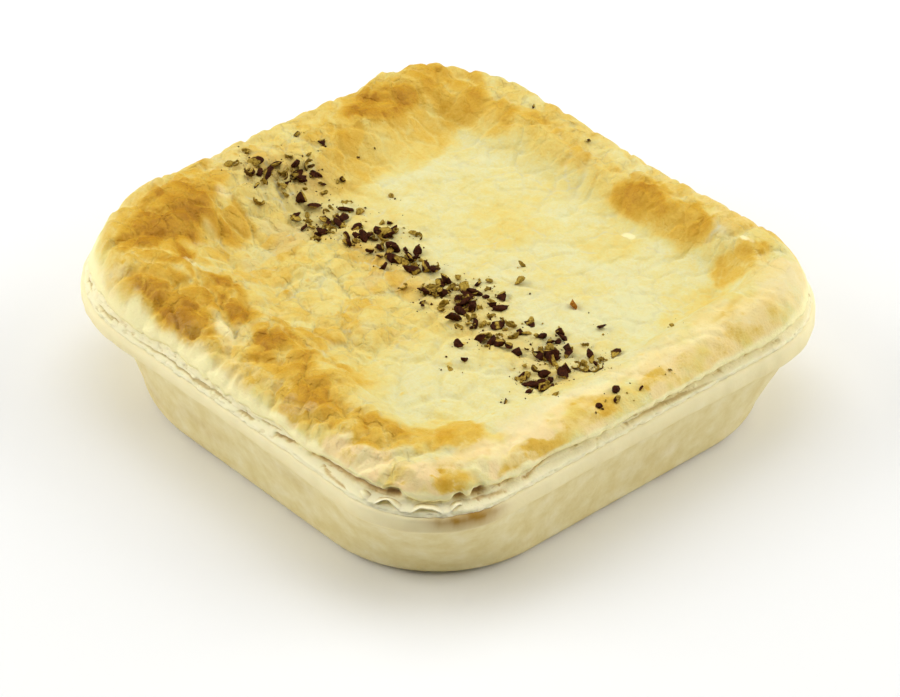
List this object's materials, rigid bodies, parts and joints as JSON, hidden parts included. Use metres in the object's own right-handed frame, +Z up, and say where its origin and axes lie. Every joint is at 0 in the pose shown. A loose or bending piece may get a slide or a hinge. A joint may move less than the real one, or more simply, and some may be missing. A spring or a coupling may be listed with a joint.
{
  "type": "square beef pie",
  "caption": "Square single-serve beef pie with rounded corners: tapered shortcrust base with a flange, and a blistered puff pastry lid with cracked pepper strewn across it.",
  "frame": {"origin": "middle of the pie's box, on the surface that it stands on", "axes": "+Z up; X along the band of pepper, which crosses the lid from one side to the other; Y across it"},
  "size_m": [0.1077, 0.1038, 0.03],
  "materials": {
    "shortcrust": null,
    "puff_pastry": null
  },
  "bodies": {
    "root": {"base_crust": "shortcrust", "puff_lid": "puff_pastry"}
  },
  "joints": []
}
